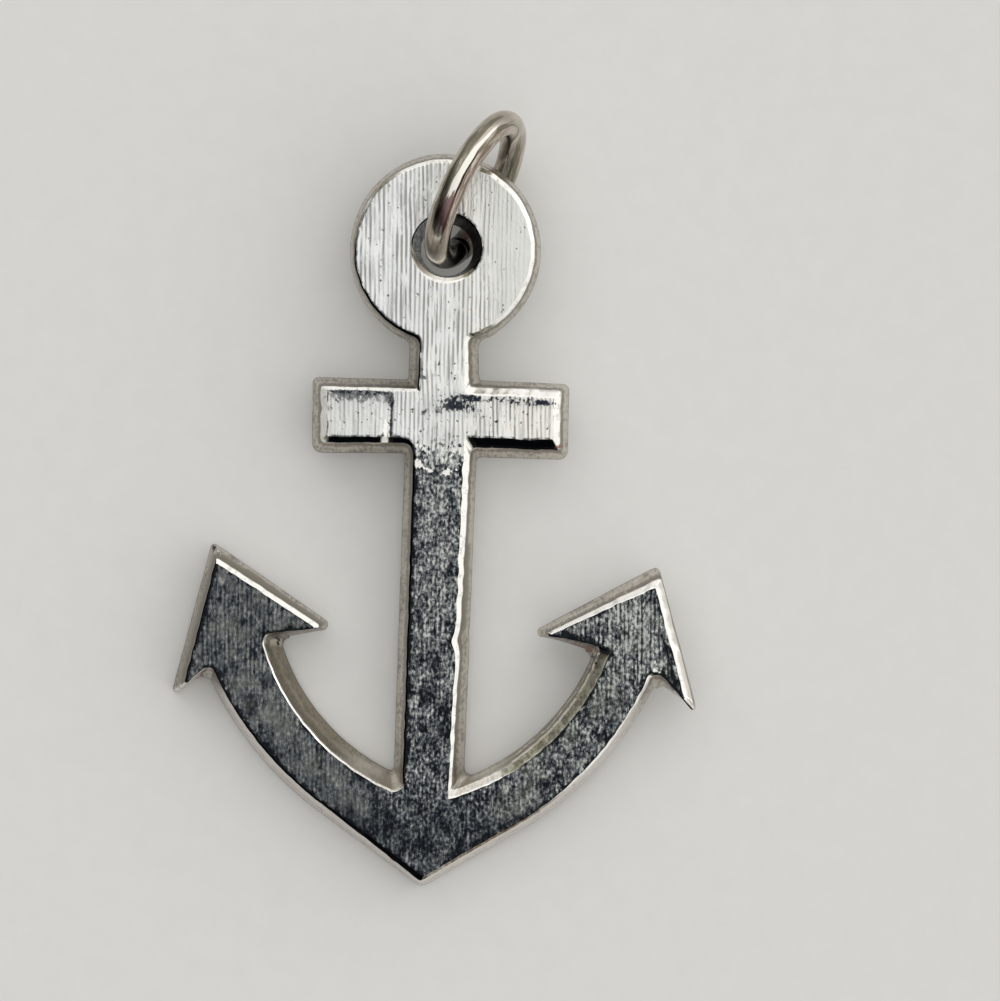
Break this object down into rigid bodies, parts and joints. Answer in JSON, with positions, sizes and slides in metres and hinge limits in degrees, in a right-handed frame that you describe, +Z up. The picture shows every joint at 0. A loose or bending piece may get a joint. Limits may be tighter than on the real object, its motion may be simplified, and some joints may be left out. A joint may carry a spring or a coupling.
{
  "type": "anchor pendant",
  "caption": "Cast metal anchor pendant with a pierced round eye, a short stock, barbed flukes and a loose round wire jump ring.",
  "frame": {"origin": "on the surface that the pendant lies on, under the middle of its whole box", "axes": "+Y up the shank from the crown to the eye, +X across the face to the right, +Z up from the surface, out of the face"},
  "size_m": [0.0212, 0.0314, 0.0068],
  "materials": {
    "oxidised_silver": "brushed cast silver, bright on the eye and stock, blackened over shank, arms and flukes, with bright edges",
    "polished_wire": "polished round silver wire, slightly warm"
  },
  "bodies": {
    "root": {"anchor": "oxidised_silver", "jump_ring": "polished_wire"}
  },
  "joints": []
}
